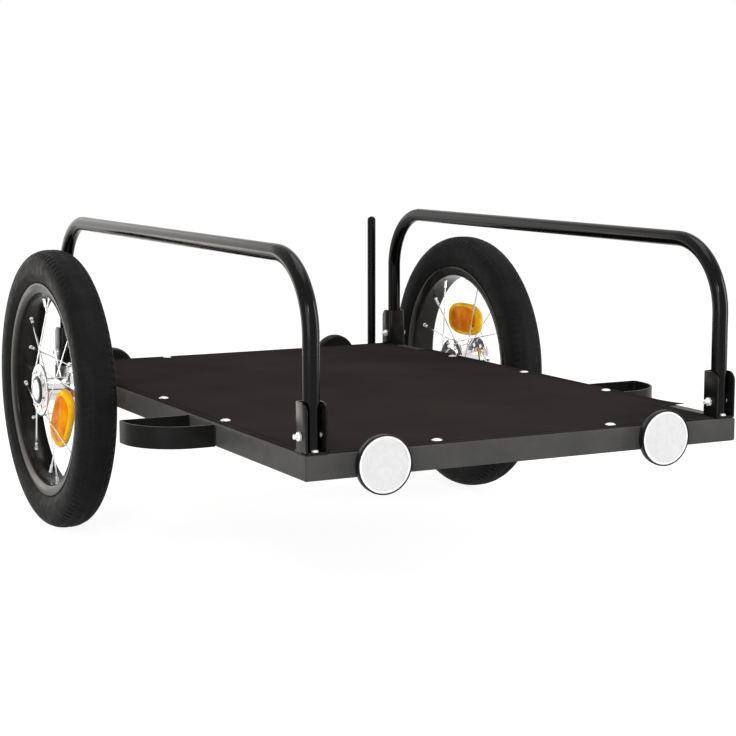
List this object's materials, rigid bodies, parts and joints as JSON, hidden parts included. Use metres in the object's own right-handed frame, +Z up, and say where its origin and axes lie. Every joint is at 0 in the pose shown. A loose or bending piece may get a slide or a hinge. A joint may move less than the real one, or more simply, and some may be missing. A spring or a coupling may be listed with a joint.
{
  "type": "cargo bike trailer",
  "caption": "Flat two-wheel cargo trailer for a bicycle: square-tube frame, stretched cloth deck, bent tube side rails, wheel guards and spoked push-button wheels.",
  "frame": {"origin": "middle of the bounding box's bottom, on the ground under the trailer", "axes": "+Z up, +Y from the front end (drawbar end) to the rear end near the wheels, +X to the right of someone who stands before the front end and looks at it"},
  "size_m": [0.791, 0.9672, 0.4505],
  "materials": {
    "frame_paint": "satin dark grey powder coat",
    "rail_paint": "glossy black enamel",
    "deck_cloth": "matte black coated weave",
    "zinc": "bright zinc plate",
    "chrome": "bright chrome",
    "button_chrome": "bright chrome",
    "bearing_steel": "ground steel",
    "tyre": "matte black tread rubber",
    "inner_tube": "smooth black rubber",
    "rim_paint": "glossy black",
    "black_steel": "black oxide",
    "black_plastic": "fine satin",
    "pole_plastic": "smooth gloss",
    "white_lens": "clear white prismatic",
    "amber_lens": "amber prismatic"
  },
  "bodies": {
    "frame": {"left_side_tube": "frame_paint", "right_side_tube": "frame_paint", "front_cross_tube": "frame_paint", "rear_cross_tube": "frame_paint", "middle_cross_tube": "frame_paint", "deck_cloth": "deck_cloth", "left_rear_stud": "zinc", "left_middle_stud": "zinc", "left_front_stud": "zinc", "front_left_stud": "zinc", "rear_left_stud": "zinc", "right_rear_stud": "zinc", "right_middle_stud": "zinc", "right_front_stud": "zinc", "front_right_stud": "zinc", "rear_right_stud": "zinc", "left_hoop": "rail_paint", "left_wheel_guard": "frame_paint", "front_left_bracket": "frame_paint", "front_left_bolt": "zinc", "front_left_nut": "zinc", "front_left_reflector_housing": "black_plastic", "front_left_reflector_lens": "white_lens", "rear_left_bracket": "frame_paint", "rear_left_bolt": "zinc", "rear_left_nut": "zinc", "rear_left_reflector_housing": "black_plastic", "rear_left_reflector_lens": "white_lens", "right_hoop": "rail_paint", "right_wheel_guard": "frame_paint", "front_right_bracket": "frame_paint", "front_right_bolt": "zinc", "front_right_nut": "zinc", "front_right_reflector_housing": "black_plastic", "front_right_reflector_lens": "white_lens", "rear_right_bracket": "frame_paint", "rear_right_bolt": "zinc", "rear_right_nut": "zinc", "rear_right_reflector_housing": "black_plastic", "rear_right_reflector_lens": "white_lens", "flag_pole": "pole_plastic", "flag_pole_clip": "black_plastic", "left_axle": "black_steel", "right_axle": "black_steel"},
    "left_wheel": {"left_tyre": "tyre", "left_inner_tube": "inner_tube", "left_rim": "rim_paint", "left_hub_and_spokes": "chrome", "left_outer_bearing": "bearing_steel", "left_inner_bearing": "bearing_steel", "left_spoke_reflector": "amber_lens"},
    "right_wheel": {"right_tyre": "tyre", "right_inner_tube": "inner_tube", "right_rim": "rim_paint", "right_hub_and_spokes": "chrome", "right_outer_bearing": "bearing_steel", "right_inner_bearing": "bearing_steel", "right_spoke_reflector": "amber_lens"},
    "left_button": {"left_release_button": "button_chrome"},
    "right_button": {"right_release_button": "button_chrome"}
  },
  "joints": [
    {"name": "left_wheel_spin", "type": "hinge", "parent": "frame", "child": "left_wheel", "pos_m": [-0.346, 0.28065, 0.203], "axis": [1, 0, 0], "continuous": true},
    {"name": "right_wheel_spin", "type": "hinge", "parent": "frame", "child": "right_wheel", "pos_m": [0.346, 0.28065, 0.203], "axis": [1, 0, 0], "continuous": true},
    {"name": "left_button_press", "type": "slide", "parent": "frame", "child": "left_button", "axis": [1, 0, 0], "range_m": [0, 0.003], "stiffness_N_per_m": 800},
    {"name": "right_button_press", "type": "slide", "parent": "frame", "child": "right_button", "axis": [-1, 0, 0], "range_m": [0, 0.003], "stiffness_N_per_m": 800}
  ]
}
